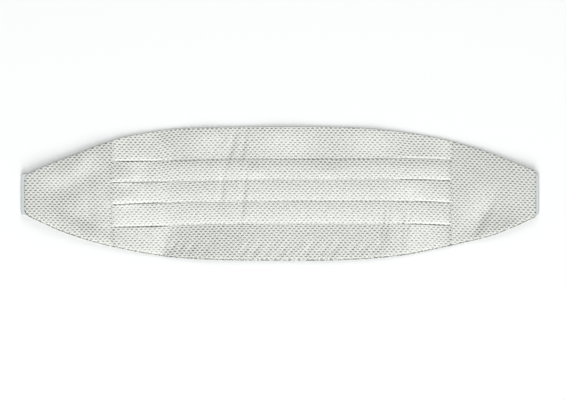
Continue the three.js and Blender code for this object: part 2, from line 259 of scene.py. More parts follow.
def ease(start, end, t):
    """Smooth step: 0 at start, 1 at end, level at both."""
    s = np.clip((t - start) / (end - start), 0, 1)
    return s * s * (3 - 2 * s)


def curve_of(table, column):
    """A table's column as a smooth curve: a cubic between rows, with slopes taken from the neighbouring
    rows.
    """
    at = np.array([row["along"] for row in table], float)
    value = np.array([row[column] for row in table], float)
    chord = np.diff(value) / np.diff(at)
    inner = np.where(chord[:-1] * chord[1:] <= 0, 0, (chord[:-1] + chord[1:]) / 2)
    slope = np.concatenate([chord[:1], inner, chord[-1:]])

    def curve(along):
        t = np.clip(along, at[0], at[-1])
        i = np.clip(np.searchsorted(at, t) - 1, 0, len(at) - 2)
        span = at[i + 1] - at[i]
        s = (t - at[i]) / span
        ends = value[i] * (1 + 2 * s) * (1 - s) ** 2 + value[i + 1] * s * s * (3 - 2 * s)
        return ends + span * (slope[i] * s * (1 - s) ** 2 - slope[i + 1] * s * s * (1 - s))

    return curve


upper_share, lower_share = curve_of(OUTLINE, "upper"), curve_of(OUTLINE, "lower")
lift_share = curve_of(LIFT, "lift")
fold_shares = [curve_of(FOLDS, column) for column in FOLD_COLUMNS]
print(len(OUTLINE), "stations of the outline,", len(FOLDS), "of the folds")

# %% [markdown]
# The blunt ends have round corners. A corner is a quarter circle taken off the outline: the edge comes in
# by r - sqrt(r^2 - d^2), where d is how far past the start of the corner a point lies.

# %% The outline with its corners
LEFT_CORNER = 5.5
RIGHT_CORNER = 2.5


def corner(x):
    """How far a tip's round corner takes the long edge in, at x."""
    radius = np.where(x < 0, LEFT_CORNER, RIGHT_CORNER)
    past = np.clip(np.abs(x) - (TIP - radius), 0, radius)
    return radius - np.sqrt(radius**2 - past**2)


def upper_edge(x):
    """Upper long edge of the face."""
    return upper_share(x / BODY_LENGTH) * CENTRE_HEIGHT - corner(x)


def lower_edge(x):
    """Lower long edge of the face."""
    return lower_share(x / BODY_LENGTH) * CENTRE_HEIGHT + corner(x)


def fold_height(k, x):
    """Height of a fold, counted from the lower edge up."""
    return fold_shares[k](x / BODY_LENGTH) * CENTRE_HEIGHT


for seam_name, seam in (("left", LEFT_SEAM), ("right", RIGHT_SEAM)):
    print(f"{upper_edge(seam) - lower_edge(seam):.1f} mm high at the {seam_name} seam")


# %% [markdown]
# ## What the sash lies on
# The straps run flat on the table beneath the sash and meet in a clasp beneath its left end. The lining is
# draped over them. Along the middle its long edges touch the table. Both tips are lifted, the left one
# more, because its shadow in the picture is longer. A cloth simulation could drape it too, but a formula
# gives a height on which every layer above can be stacked.

# %% Height of the lining's underside
STRAP_TOP = 0.6  # top of the strap that lies on the table
TIP_RISE = 4.4  # what a full lift adds to that
LAYER_GAP = 0.1
ARCH_MARGIN = 1  # room round the clasp
ARCH_SLOPE = 40  # the lining comes down from the clasp over this length
ARCH_FLAT = 0.75  # most of the sash's half height that the level part of the arch takes up
STRAP_DROP = 2  # the straps lie this far below the middle line
STRAP_RETURN = 18  # strap that lies doubled, from the clasp's bar on
CLASP_BAR = 3
CLASP_MIDDLE = (clasp_low[0] + clasp_high[0]) / 2 - MIDDLE[0]
CLASP_REACH = (clasp_high[0] - clasp_low[0]) / 2 - CLASP_BAR + STRAP_RETURN
CLASP_HALF_WIDTH = (clasp_high[1] - clasp_low[1]) / 2
CLASP_STACK = 3.05  # top of the strap that is turned back over the clasp


def underside(x, y):
    """Lift of the tips, plus an arch across the sash.

    The arch is there wherever the lift alone doesn't clear the strap or the clasp. It is level in the middle
    and comes down evenly to the long edges.
    """
    lift = lift_share(x / BODY_LENGTH) * (STRAP_TOP + TIP_RISE)
    near = CLASP_REACH + ARCH_MARGIN
    over_clasp = 1 - ease(near, near + ARCH_SLOPE, np.abs(x - CLASP_MIDDLE))
    need = STRAP_TOP + LAYER_GAP + (CLASP_STACK - STRAP_TOP) * over_clasp
    upper, lower = upper_share(x / BODY_LENGTH), lower_share(x / BODY_LENGTH)
    middle, half = (upper + lower) / 2 * CENTRE_HEIGHT, (upper - lower) / 2 * CENTRE_HEIGHT
    flat = np.minimum(CLASP_HALF_WIDTH + STRAP_DROP + ARCH_MARGIN, half * ARCH_FLAT)
    down = np.clip((np.abs(y - middle) - flat) / (half - flat), 0, 1)
    return lift + np.maximum(0, need - lift) * (1 - down)


print(f"lining {underside(0.0, 0.0):.1f} mm off the table at the middle,", end=" ")
print(f"{underside(-TIP, 0.0):.1f} mm at the left tip")


# %% [markdown]
# ## Relief of the face
# Cloth that has lain folded keeps soft swells, dents and creases. A swell is a long, low hill, whose height
# falls off as a bell curve along its own direction and, with a width of its own, to each side. A dent is a
# hill with a negative height, and a crease is a dent that is narrow. Short slanted ripples lie along the
# lower edge. Their places and heights follow the light and dark patches in the picture. Sculpting could do
# this by hand, but a table can be read.

# %% Swells, dents and creases
RELIEF = [
    # Left end: dents by the tip and by the seam, the swell above them and the fold between.
    {"x": -214, "y": 1, "long": 24, "below": 18, "above": 13, "turn": -6, "high": -0.5},
    {"x": -185, "y": -26, "long": 23, "below": 9, "above": 19, "turn": -24, "high": -0.6},
    {"x": -184, "y": 42, "long": 15, "below": 26, "above": 26, "turn": -16, "high": 0.9},
    {"x": -194, "y": 13, "long": 26, "below": 11, "above": 11, "turn": 34, "high": -0.4},
    # Right end: a crease across it, its lower edge curled up, and a dent by the seam.
    {"x": 193, "y": -26, "long": 22, "below": 6, "above": 13, "turn": 60, "high": -0.65},
    {"x": 216, "y": -43, "long": 22, "below": 20, "above": 16, "turn": 21, "high": 1.1},
    {"x": 184, "y": -46, "long": 12, "below": 30, "above": 24, "turn": 0, "high": -0.35},
    # Swells of the band above the pleats.
    {"x": -142, "y": 36, "long": 18, "below": 8, "above": 16, "turn": 0, "high": 0.35},
    {"x": -112, "y": 46, "long": 10, "below": 14, "above": 24, "turn": 30, "high": 0.3},
    {"x": -72, "y": 61, "long": 24, "below": 20, "above": 26, "turn": 0, "high": 1.0},
    {"x": 3, "y": 63, "long": 36, "below": 22, "above": 26, "turn": 0, "high": 1.2},
    {"x": 88, "y": 62, "long": 26, "below": 21, "above": 26, "turn": 0, "high": 1.0},
    # Creases left of the middle, then those right of it.
    {"x": -48.5, "y": 41, "long": 2.6, "below": 20, "above": 20, "turn": -15, "high": -0.35},
    {"x": -36.3, "y": 42, "long": 2, "below": 18, "above": 18, "turn": -7, "high": -0.35},
    {"x": -36, "y": -4, "long": 2.4, "below": 28, "above": 28, "turn": -6, "high": -0.35},
    {"x": -57, "y": 0, "long": 2.4, "below": 14, "above": 14, "turn": -6, "high": -0.28},
    {"x": 102, "y": -33, "long": 2.4, "below": 24, "above": 24, "turn": -8, "high": -0.5},
    {"x": 122, "y": -33, "long": 2.4, "below": 24, "above": 24, "turn": -6, "high": -0.45},
    # Swells of the pleats: by the right seam, by the left seam and in the middle.
    {"x": 121, "y": 11, "long": 12, "below": 8, "above": 16, "turn": 0, "high": 0.2},
    {"x": -152, "y": 13, "long": 10, "below": 6, "above": 13, "turn": 0, "high": 0.5},
    {"x": -150, "y": -7, "long": 12, "below": 6, "above": 13, "turn": 0, "high": 0.45},
    {"x": -24, "y": 20, "long": 9, "below": 7, "above": 7, "turn": 0, "high": 0.2},
    {"x": 46, "y": 19, "long": 11, "below": 6, "above": 7, "turn": 0, "high": 0.15},
]
RIPPLES = [(-104, 0.22), (-96, 0.12), (-86, 0.2), (-72, 0.1), (-35, 0.18)]  # place and depth
RIPPLES += [(-24, 0.25), (-12, 0.12), (3, 0.22), (12, 0.1), (27, 0.2)]
RIPPLES += [(41, 0.12), (52, 0.2), (69, 0.14), (80, 0.2), (93, 0.16)]
RIPPLE = {"long": 2.2, "below": 7, "above": 8, "turn": -28}
RIPPLE_HEIGHT = 10  # middle of a ripple, above the lower edge


def hill_height(hill, x, y):
    """A bell curve along the hill's own direction, and one on each side of it with its own width."""
    angle = np.radians(hill["turn"])
    across, up = x - hill["x"], y - hill["y"]
    a = (across * np.cos(angle) + up * np.sin(angle)) / hill["long"]
    b = up * np.cos(angle) - across * np.sin(angle)
    b = b / np.where(b > 0, hill["above"], hill["below"])
    return hill["high"] * np.exp(-a * a - b * b)


def relief(x, y):
    """The hills of the table, and the ripples."""
    total = sum(hill_height(hill, x, y) for hill in RELIEF)
    for place, depth in RIPPLES:
        middle = float(lower_edge(place)) + RIPPLE_HEIGHT
        total += hill_height({"x": place, "y": middle, "high": -depth, **RIPPLE}, x, y)
    return total


print(len(RELIEF), "swells, dents and creases,", len(RIPPLES), "ripples")

# %% [markdown]
# ## One way to make every cloth
# A cloth is two grids of points, its upper and its lower side. The two share their outer ring of points, so
# the sheet is closed and its edge is rounded instead of cut square. Solidify could give a flat sheet its
# wall, but not this edge.

# %% Grids of points into closed cloth


def closed_cloth(name, upper, lower, uv, edge=None):
    """One mesh from two grids of points that share their outer ring. Points are millimetres from the
    middle.
    """
    rows, columns = upper.shape[:2]
    number = np.arange(rows * columns).reshape(rows, columns)
    under = number.copy()
    inner = (rows - 2) * (columns - 2)
    under[1:-1, 1:-1] = rows * columns + np.arange(inner).reshape(rows - 2, columns - 2)

    def quads(grid):
        return np.stack([grid[:-1, :-1], grid[1:, :-1], grid[1:, 1:], grid[:-1, 1:]], axis=-1).reshape(-1, 4)

    def both(values):
        width = values.shape[-1]
        return np.concatenate([values.reshape(-1, width), values[1:-1, 1:-1].reshape(-1, width)])

    points = np.concatenate([upper.reshape(-1, 3), lower[1:-1, 1:-1].reshape(-1, 3)])
    faces = np.concatenate([quads(number), quads(under)[:, ::-1]])
    mesh = bpy.data.meshes.new(name)
    mesh.from_pydata((points + MIDDLE) * MM, [], faces)
    mesh.polygons.foreach_set("use_smooth", np.ones(len(faces), bool))
    corners = np.zeros(len(faces) * 4, np.int32)
    mesh.loops.foreach_get("vertex_index", corners)
    mesh.uv_layers.new(name="Cloth").data.foreach_set("uv", both(uv)[corners].astype(np.float32).ravel())
    # The distance from the lower edge is kept for the painted shade along that edge.
    if edge is not None:
        shade = mesh.attributes.new("edge_line", "FLOAT", "POINT")
        shade.data.foreach_set("value", both(edge[..., None]).astype(np.float32).ravel())
    mesh.update()
    piece = bpy.data.objects.new(name, mesh)
    bpy.context.collection.objects.link(piece)
    print(f"{name}: {2 * len(faces)} triangles")
    return piece


def rounded(distance, radius):
    """Quarter circle: 0 at the edge, 1 from one radius inwards."""
    inside = np.clip(distance / radius, 0, 1)
    return np.sqrt(1 - (1 - inside) ** 2)


def spread(start, end, count, ends=1.5):
    """Places from start to end that crowd towards both ends: t plus a sine, so the edges get fine faces."""
    t = np.linspace(0, 1, count)
    t = t - np.sin(2 * np.pi * t) / (2 * np.pi) * (1 - 1 / ends)
    return start + (end - start) * t


# %% [markdown]
# ## Lining
# A plain satin backing, cut to the face's outline, which it passes by a fifth of a millimetre along the
# lower edge. It could be a flat sheet pulled onto the layers below by a Shrinkwrap modifier. Here it is a
# height over the table for each point of the outline, so a grid from the lower to the upper edge is all it
# needs.

# %% The lining
LINING_WALL = 0.4
LINING_ROUND = 0.5  # the wall thins to its edge over this width


def make_lining():
    """z = underside(x, y), plus the wall times a quarter circle at the edges."""
    x = spread(-TIP, TIP, 260, ends=3)[:, None]
    low, high = lower_edge(x) - LINING_RIM, upper_edge(x)
    t = spread(0, 1, 90, ends=3)[None, :]
    y = low + (high - low) * t
    floor = underside(x, y)
    from_edge = np.minimum(np.minimum(y - low, high - y), TIP - np.abs(x))
    wall = LINING_WALL * rounded(from_edge, LINING_ROUND)
    x = np.broadcast_to(x, y.shape)
    grid = np.stack([x, y, floor], axis=-1)
    lift = np.array([0, 0, 1])
    return closed_cloth("lining_cloth", grid + lift * wall[..., None], grid, np.stack([x, y], axis=-1))


lining = make_lining()

# %% [markdown]
# ## Face cloth at the ends
# Each end is one plain piece of the patterned cloth, sewn to the pleats and to the lining. It bulges a
# little between its seams and comes down slightly along its lower edge and its tip, where the cloth is
# turned in. A pressure simulation would bulge it too, but the swells and creases have to lie where the
# picture shows them, so the height is a sum of named parts. Only the very edge is rounded, which keeps the
# outline crisp from above.

# %% The two end panels
FACE_WALL = 0.3
FACE_GAP = 0.1
FACE_LOFT = 0.5  # turned-in cloth that holds the face off the lining
LEAST_LOFT = 0.05  # a dent goes no deeper than this above the lining
STRAP_TUCK = 9  # strap that is sewn in between the face and the lining
TUCK_START, TUCK_END = 26, 4  # the face rises over the strap's end between these distances before it
TAB_PUFF = 0.3  # bulge of an end
EDGE_ROLL = 0.06  # radius of the face's rounded edge
WALL_ROUND = 0.25  # the face's wall thins to its edge over this width
SEAM_DIP = 0.2  # depth of the valley along a seam
SEAM_WIDTH = 1.6
# Stations close to an edge, so that only its very edge is rounded.
CLOSE = np.array([0, 0.015, 0.035, 0.06, 0.4])
HEM_DROP = 0.15  # the face slopes down this much
HEM_SLOPE = 3.2  # over this width, along the lower edge
TIP_DROP = 0.15  # and this much
TIP_SLOPE = 5  # over this length, at the tips
END_LOFT = 0.4  # more cloth turned in at the ends


def face_floor(x, y):
    """Top of the lining plus a little air, and near the tips the strap that is sewn in between."""
    room = ease(TIP - STRAP_TUCK - TUCK_START, TIP - STRAP_TUCK - TUCK_END, np.abs(x))
    return underside(x, y) + LINING_WALL + FACE_GAP + room * (STRAP_TOP + FACE_GAP)


def with_close_ends(start, end, inner):
    """Stations from start to end: those of CLOSE at both ends, and between them the given shares of what is
    left.
    """
    last = CLOSE[-1]
    side = np.sign(end - start)
    between = start + side * last + (end - start - 2 * side * last) * inner[..., 1:-1]
    return np.concatenate([start + side * CLOSE, between, end - side * CLOSE[::-1]], axis=-1)


def hem_slope(x, y):
    """How far the face comes down towards the lower edge and the tips, as squares of the distance."""
    to_edge = 1 - np.clip((y - lower_edge(x)) / HEM_SLOPE, 0, 1)
    to_tip = 1 - np.clip((TIP - np.abs(x)) / TIP_SLOPE, 0, 1)
    return HEM_DROP * to_edge**2 + TIP_DROP * to_tip**2


def make_end_panel(name, seam, tip):
    """z = face_floor, plus a bulge (1 - across^2) * 4 * along * (1 - along), plus relief, rounded at the
    edges.
    """
    x = np.sort(with_close_ends(seam, tip, np.linspace(0, 1, 120)))[:, None]
    low, high = lower_edge(x), upper_edge(x)
    y = with_close_ends(low, high, np.linspace(0, 1, 90)[None, :])
    x = np.broadcast_to(x, y.shape)
    along = (x - seam) / (tip - seam)
    across = 2 * (y - low) / (high - low) - 1
    from_edge = np.minimum(y - low, high - y)
    from_tip = np.abs(tip - x)
    roll = rounded(from_edge, EDGE_ROLL) * rounded(from_tip, EDGE_ROLL)
    puff = TAB_PUFF * (1 - across**2) * 4 * along * (1 - along)
    dip = SEAM_DIP * np.exp(-((np.abs(x - seam) / SEAM_WIDTH) ** 2))
    loft = FACE_LOFT + END_LOFT + puff + relief(x, y) - hem_slope(x, y) - dip
    body = np.maximum(loft, LEAST_LOFT) * roll
    floor = face_floor(x, y)
    wall = FACE_WALL * rounded(np.minimum(from_edge, from_tip), WALL_ROUND)
    upper = np.stack([x, y, floor + body + wall / 2], axis=-1)
    lower = upper - np.array([0, 0, 1]) * (wall * rounded(np.abs(x - seam), WALL_ROUND))[..., None]
    uv = np.stack([x, y], axis=-1)
    return closed_cloth(name, upper, lower, uv, edge=y - low)


left_end = make_end_panel("left_end_cloth", LEFT_SEAM, -TIP)
right_end = make_end_panel("right_end_cloth", RIGHT_SEAM, TIP)

# %% [markdown]
# ## Pleated cloth
# One cloth, folded into four pleats. From the lower edge up, each band rises to its fold, turns back under
# itself and tucks in below the next band. The section is a path, and the cloth is the path carried along
# the sash. Four flat strips laid over each other would look alike from above, but they wouldn't be one
# cloth. The bands are pressed nearly flat in the middle and stand more open towards the seams, which a
# table of lips gives.

# %% Section of the pleats
CLOTH_WALL = 0.16
PITCH = 0.18  # from one layer of a pressed pleat to the next
PLEAT_DEPTH = 6
BAND_PUFF = 0.15  # bulge of a band
BAND_RISE = 0.12  # beyond the two layers beneath a fold
TOP_START = -0.25  # the band above the pleats dips where it comes out from beneath the first fold
TOP_RISE = 0.7  # and stands this high at the upper edge
TOP_BEND = 0.1  # share of that rise which grows with the square of the way
LOWEST = -0.02  # the cloth sinks no further than this below the face's floor
HEM_LEAN = 0.23  # the hem stands up along slanted lines
SEAM_HOLD = 12  # pleats are held flat by the seams and free this far from them
GROOVE = 0.5  # how far the cloth dips where it comes out from beneath a fold, near the seams
GROOVE_WIDTH = 1.0
LEFT_GROOVES = (-125, -100)  # the grooves fade out between these places
RIGHT_GROOVES = (105, 125)  # and come back between these
HEMS = [
    {"along": -0.33, "hem": 0.75},
    {"along": -0.235, "hem": 0.6},
    {"along": -0.215, "hem": 1.4},
    {"along": 0, "hem": 1.5},
    {"along": 0.2, "hem": 1.4},
    {"along": 0.245, "hem": 0.7},
    {"along": 0.337, "hem": 0.8},
]
LIPS = [
    {"along": -0.33, "first": 0.1, "second": 0.1, "third": 0.2, "fourth": 0.3},
    {"along": -0.28, "first": 0.25, "second": 0.4, "third": 0.45, "fourth": 0.55},
    {"along": -0.24, "first": 0.1, "second": 0.45, "third": 0.6, "fourth": 0.8},
    {"along": -0.22, "first": 0.1, "second": 0.2, "third": 0.3, "fourth": 0.2},
    {"along": -0.15, "first": 0.1, "second": 0.1, "third": 0.1, "fourth": 0.05},
    {"along": -0.1, "first": 0.3, "second": 0.15, "third": 0.05, "fourth": 0.05},
    {"along": 0, "first": 0.0, "second": 0.1, "third": 0.1, "fourth": 0.05},
    {"along": 0.15, "first": 0.0, "second": 0.1, "third": 0.1, "fourth": 0.05},
    {"along": 0.22, "first": 0.15, "second": 0.1, "third": 0.1, "fourth": 0.0},
    {"along": 0.26, "first": 0.3, "second": 0.3, "third": 0.15, "fourth": 0.35},
    {"along": 0.31, "first": 0.1, "second": 0.05, "third": 0.0, "fourth": 0.25},
    {"along": 0.337, "first": 0.0, "second": 0.0, "third": 0.0, "fourth": 0.1},
]
lip_curves = [curve_of(LIPS, column) for column in FOLD_COLUMNS]
hem_curve = curve_of(HEMS, "hem")


def arc_points(middle_y, middle_z, radius, start, end, count):
    """Points on a circle, one row for each station: middle plus radius times cosine and sine. Angles in
    degrees.
    """
    angle = np.radians(np.linspace(start, end, count))[None, :]
    return middle_y + radius * np.cos(angle), middle_z + radius * np.sin(angle)


def groove(x, distance):
    """Dip of the cloth at a distance above a fold: a bell curve, only near the two seams."""
    near_seam = 1 - ease(*LEFT_GROOVES, x) + ease(*RIGHT_GROOVES, x)
    return GROOVE * near_seam * np.exp(-((distance / GROOVE_WIDTH) ** 2))


def pleat_section(x):
    """Middle line of the cloth, as y and height above the face's floor, one row for each station.

    A band rises evenly to its fold and puffs by 4 * t * (1 - t). Then come the half circle of the fold, the
    layer that goes back beneath it, a small turn, and the layer that comes out again as the next band.
    """
    ys, zs = [], []
    start = lower_edge(x)
    for k in range(len(FOLD_COLUMNS)):
        fold = fold_height(k, x)
        crest = 2 * PITCH + BAND_RISE + lip_curves[k](x / BODY_LENGTH)
        radius = (crest - PITCH) / 2
        crown = fold - CLOTH_WALL / 2 - radius
        t = spread(0, 1, 24, ends=3)[None, :]
        y = start + (crown - start) * t
        puff = BAND_PUFF * 4 * t * (1 - t) - groove(x, y - start)
        if k == 0:
            y = with_close_ends(start, crown, np.linspace(0, 1, 34)[None, :])
            t = (y - start) / (crown - start)
            puff = hem_curve((x - HEM_LEAN * (y - start)) / BODY_LENGTH) * (1 - t)
        roll_y, roll_z = arc_points(crown, PITCH + radius, radius, 90, -90, 9)
        under = np.linspace(0, 1, 6)[None, 1:]
        back_y = crown + (fold - PLEAT_DEPTH - crown) * under
        turn_y, turn_z = arc_points(fold - PLEAT_DEPTH, PITCH / 2, PITCH / 2, 90, 270, 6)
        out_y = fold - PLEAT_DEPTH * (1 - under[:, :-1])
        ys += [y, roll_y[:, 1:], back_y, turn_y[:, 1:], out_y]
        zs += [crest * t + puff, roll_z[:, 1:], 0 * back_y + PITCH, 0 * x + turn_z[:, 1:], 0 * out_y]
        start = fold
    y = with_close_ends(start, upper_edge(x), np.linspace(0, 1, 34)[None, :])
    t = (y - start) / (upper_edge(x) - start)
    ys.append(y)
    way = (1 - TOP_BEND) * t + TOP_BEND * t**2
    zs.append(-groove(x, y - start) + TOP_START + (TOP_RISE - TOP_START) * way)
    return np.concatenate(ys, axis=1), np.concatenate(zs, axis=1)


def make_pleats():
    """The section carried along the sash, laid on the face's floor and lifted by the relief."""
    inner = np.linspace(LEFT_SEAM + 1, RIGHT_SEAM - 1, 190)
    x = np.concatenate([LEFT_SEAM + CLOSE, inner, RIGHT_SEAM - CLOSE[::-1]])[:, None]
    y, height = pleat_section(x)
    x = np.broadcast_to(x, y.shape)
    low, high = lower_edge(x), upper_edge(x)
    from_edge = np.minimum(y - low, high - y)
    from_seam = np.minimum(x - LEFT_SEAM, RIGHT_SEAM - x)
    dip = SEAM_DIP * np.exp(-((from_seam / SEAM_WIDTH) ** 2))
    roll = rounded(from_edge, EDGE_ROLL)
    held = ease(-3 * SEAM_HOLD, SEAM_HOLD, from_seam)
    body = np.maximum(FACE_LOFT + relief(x, y) - hem_slope(x, y) - dip, LEAST_LOFT) + height * held
    z = face_floor(x, y) + np.maximum(body, LOWEST) * roll
    dy, dz = np.gradient(y, axis=1), np.gradient(z, axis=1)
    length = np.hypot(dy, dz)
    line = np.zeros_like(length)
    line[:, 1:] = np.cumsum(np.hypot(np.diff(y, axis=1), np.diff(z, axis=1)), axis=1)
    from_end = np.minimum(line, line[:, -1:] - line)
    half = CLOTH_WALL / 2 * rounded(from_end, WALL_ROUND)
    normal = np.stack([np.zeros_like(dy), -dz / length, dy / length], axis=-1) * half[..., None]
    middle = np.stack([x, y, z], axis=-1)
    fourth = np.argmax(y[0] >= fold_height(0, x[0, 0]) - CLOTH_WALL)
    uv = np.stack([x, line - line[:, fourth : fourth + 1]], axis=-1)
    print(f"pleated cloth is {line[:, -1].max():.0f} mm long unfolded, at most")
    wall = normal * (1 - 2 * rounded(from_seam, WALL_ROUND))[..., None]
    return closed_cloth("pleated_cloth", middle + normal, middle + wall, uv, edge=y - low), line[:, -1]


pleats, unfolded = make_pleats()

# %% [markdown]
# ## Straps
# A plain woven band comes out of each tip, turns under and runs flat along the table to the clasp, where it
# passes up through a slot, over a bar and back along itself. A box that is bent by modifiers could follow
# that way, but a path with a width, like the pleats, turns tightly and keeps its length known. The turn's
# corners are drawn in a little.

# %% The straps
STRAP_WALL = 0.55
STRAP_ROUND = 0.6  # the wall thins to its edge over this width
STRAP_AIR = 0.1  # between the doubled layers
TURN_PULL = 3.5  # radius of the corners where a strap turns under
TURN_REACH = {-1: 3.6, 1: 3.2}  # how far the turn stands out past the tip
CLASP_TOP = clasp_high[2]


def strap_path(side):
    """Distance from the sash's middle towards the strap's own tip, and height, along the strap's middle
    line.
    """
    half = STRAP_WALL / 2
    clasp = side * CLASP_MIDDLE
    bar = clasp + CLASP_REACH - STRAP_RETURN
    above_clasp = CLASP_TOP + LAYER_GAP
    tuck = np.linspace(TIP - STRAP_TUCK, TIP, 8)
    floor = underside(side * tuck, 0 * tuck) + LINING_WALL + LAYER_GAP
    radius, bar_radius = floor[-1] / 2, above_clasp / 2
    turn_y, turn_z = arc_points(TIP, radius + half, radius, 90, -90, 17)
    turn_y = TIP + (turn_y - TIP) * (TURN_REACH[side] - half) / radius
    bar_y, bar_z = arc_points(bar, bar_radius + half, bar_radius, 270, 90, 13)
    along = np.linspace(TIP, bar, 60)[1:-1]
    edge = bar + CLASP_BAR
    back = np.array([edge, edge + CLASP_BAR, clasp + CLASP_REACH])
    back_z = np.array([above_clasp, STRAP_TOP + STRAP_AIR, STRAP_TOP + STRAP_AIR])
    steps = np.linspace(0, 2, 24)[1:]
    back_steps = np.interp(steps, [0, 1, 2], back)
    back_height = np.interp(steps, [0, 1, 2], back_z)
    distance = np.concatenate([tuck, turn_y[0, 1:], along, bar_y[0], [edge], back_steps])
    on_table, over_bar = along * 0 + half, [above_clasp + half]
    height = np.concatenate([floor + half, turn_z[0, 1:], on_table, bar_z[0], over_bar, back_height + half])
    return distance, height


def make_strap(name, side):
    """The path with a width. The wall thins to nothing at the outer ring in a quarter circle."""
    distance, height = strap_path(side)
    length = np.concatenate([[0], np.cumsum(np.hypot(np.diff(distance), np.diff(height)))])
    dx, dz = np.gradient(distance), np.gradient(height)
    size = np.hypot(dx, dz)
    width = strap_high[1] - strap_low[1]
    across = spread(-width / 2, width / 2, 30, ends=4)
    if side > 0:
        across = across[::-1]
    from_end = np.minimum(length, length[-1] - length)[None, :]
    from_side = (width / 2 - np.abs(across))[:, None]
    half = STRAP_WALL / 2 * rounded(np.minimum(from_end, from_side), STRAP_ROUND)
    turned = np.clip((distance - TIP) / (distance.max() - TIP), 0, 1)
    narrow = 1 - 2 * TURN_PULL / width * (1 - np.sqrt(1 - turned**2))
    grid = np.stack(
        [
            np.broadcast_to(side * distance, half.shape),
            across[:, None] * narrow - STRAP_DROP,
            np.broadcast_to(height, half.shape),
        ],
        axis=-1,
    )
    normal = np.stack([-side * dz / size, 0 * dz, dx / size], axis=-1)[None] * half[..., None]
    uv = np.stack(np.broadcast_arrays(length[None, :], across[:, None]), axis=-1)
    return closed_cloth(name, grid + normal, grid - normal, uv), length[-1]


left_strap, left_strap_length = make_strap("left_strap_band", -1)
right_strap, right_strap_length = make_strap("right_strap_band", 1)
print(f"straps {left_strap_length:.0f} and {right_strap_length:.0f} mm long")

# %% [markdown]
# ## Finishes
# One function turns a colour from its hex value to the linear numbers that the shader wants. Another adds a
# node: inputs are given by name or number, and a value that is another node's output becomes a link. Images
# could carry the patterns, but formulas stay sharp at any distance and keep their size in millimetres.

# %% Helpers for materials


def linear(hex_colour):
    """sRGB hex to linear red, green, blue and alpha."""
    srgb = np.array([int(hex_colour[i : i + 2], 16) for i in (1, 3, 5)]) / 255
    return (*np.where(srgb <= 0.04045, srgb / 12.92, ((srgb + 0.055) / 1.055) ** 2.4), 1.0)


def add_node(material, kind, inputs, output=0, **settings):
    """Adds a node and gives back one of its outputs."""
    node = material.node_tree.nodes.new(kind)
    for name, value in settings.items():
        setattr(node, name, value)
    for key, value in inputs.items():
        if isinstance(value, bpy.types.NodeSocket):
            material.node_tree.links.new(value, node.inputs[key])
        else:
            node.inputs[key].default_value = value
    return node.outputs[output]


def vector_math(material, operation, *values):
    """A vector sum, product or length. Dot products and lengths come out of the second socket."""
    output = 1 if operation in ("DOT_PRODUCT", "LENGTH") else 0
    return add_node(material, "ShaderNodeVectorMath", dict(enumerate(values)), output, operation=operation)


def math(material, operation, *values):
    """A sum, product or wave of plain numbers."""
    return add_node(material, "ShaderNodeMath", dict(enumerate(values)), operation=operation)


def ramp(material, value, start, end, low=0.0, high=1.0):
    """Smooth step of a value, from low at start to high at end."""
    inputs = {"Value": value, "From Min": start, "From Max": end, "To Min": low, "To Max": high}
    return add_node(material, "ShaderNodeMapRange", inputs, interpolation_type="SMOOTHSTEP")


def blend(material, factor, first, second):
    """Mix of two colours. Sockets 6 and 7 are the Mix node's colours, and 2 its colour output."""
    return add_node(material, "ShaderNodeMix", {0: factor, 6: first, 7: second}, 2, data_type="RGBA")


def new_finish(name, **values):
    """An empty material with its Principled shader, and constant values on the shader's own sockets."""
    material = bpy.data.materials.new(name)
    material.use_nodes = True
    shader = material.node_tree.nodes["Principled BSDF"]
    for socket, value in values.items():
        shader.inputs[socket.replace("_", " ")].default_value = value
    return material, shader


def plug(material, output, shader, socket):
    """Links an output to one of the shader's sockets."""
    material.node_tree.links.new(output, shader.inputs[socket])


print("mid grey #808080 is", np.round(linear("#808080")[:3], 3), "in linear light")

# %% [markdown]
# ## Face cloth: polyester satin with a woven pin dot
# The ground is satin and the dots are small ovals woven the other way, so they look darker until they face
# the light. Dots lie 4.4 mm apart in rows 2.25 mm apart, each row shifted by half a space. In the
# coordinates a = across + up and b = across - up, that pattern is a plain square grid, so the fractions of
# a and b say where a point lies in its square, and how far from the dot.

# %% The woven cloth
DOT_SPACE = 4.41  # between dots in a row
ROW_SPACE = 4.5  # between every other row
DOT_LONG = 1.6  # half length of a dot
DOT_HIGH = 0.78  # half height
GROUND = "#CED0CB"  # satin
# Painted highlight: the next colour is painted as small lighter spots between every four dots, for the satin's shine.
PAINTED_SHINE = "#DDDED9"  # the satin's small shine between four dots
DOT = "#787975"  # dots, seen where they don't face the light
# Painted shade: the next colour is painted as a broken dark line along the lower edge, where the face turns under.
LOWER_EDGE_SHADE = "#5C5B57"  # the shade of the turned lower edge


def nearest_point(material, lattice, shift):
    """Distance to the nearest point of the lattice moved by shift, in half sizes of a dot."""
    moved = vector_math(material, "ADD", lattice, (shift, shift, 0.5))
    centred = vector_math(material, "SUBTRACT", vector_math(material, "FRACTION", moved), (0.5, 0.5, 0.5))
    long, high = DOT_SPACE / 2 / DOT_LONG, ROW_SPACE / 2 / DOT_HIGH
    x = vector_math(material, "DOT_PRODUCT", centred, (long, long, 0))
    y = vector_math(material, "DOT_PRODUCT", centred, (high, -high, 0))
    return vector_math(material, "LENGTH", add_node(material, "ShaderNodeCombineXYZ", {"X": x, "Y": y}))


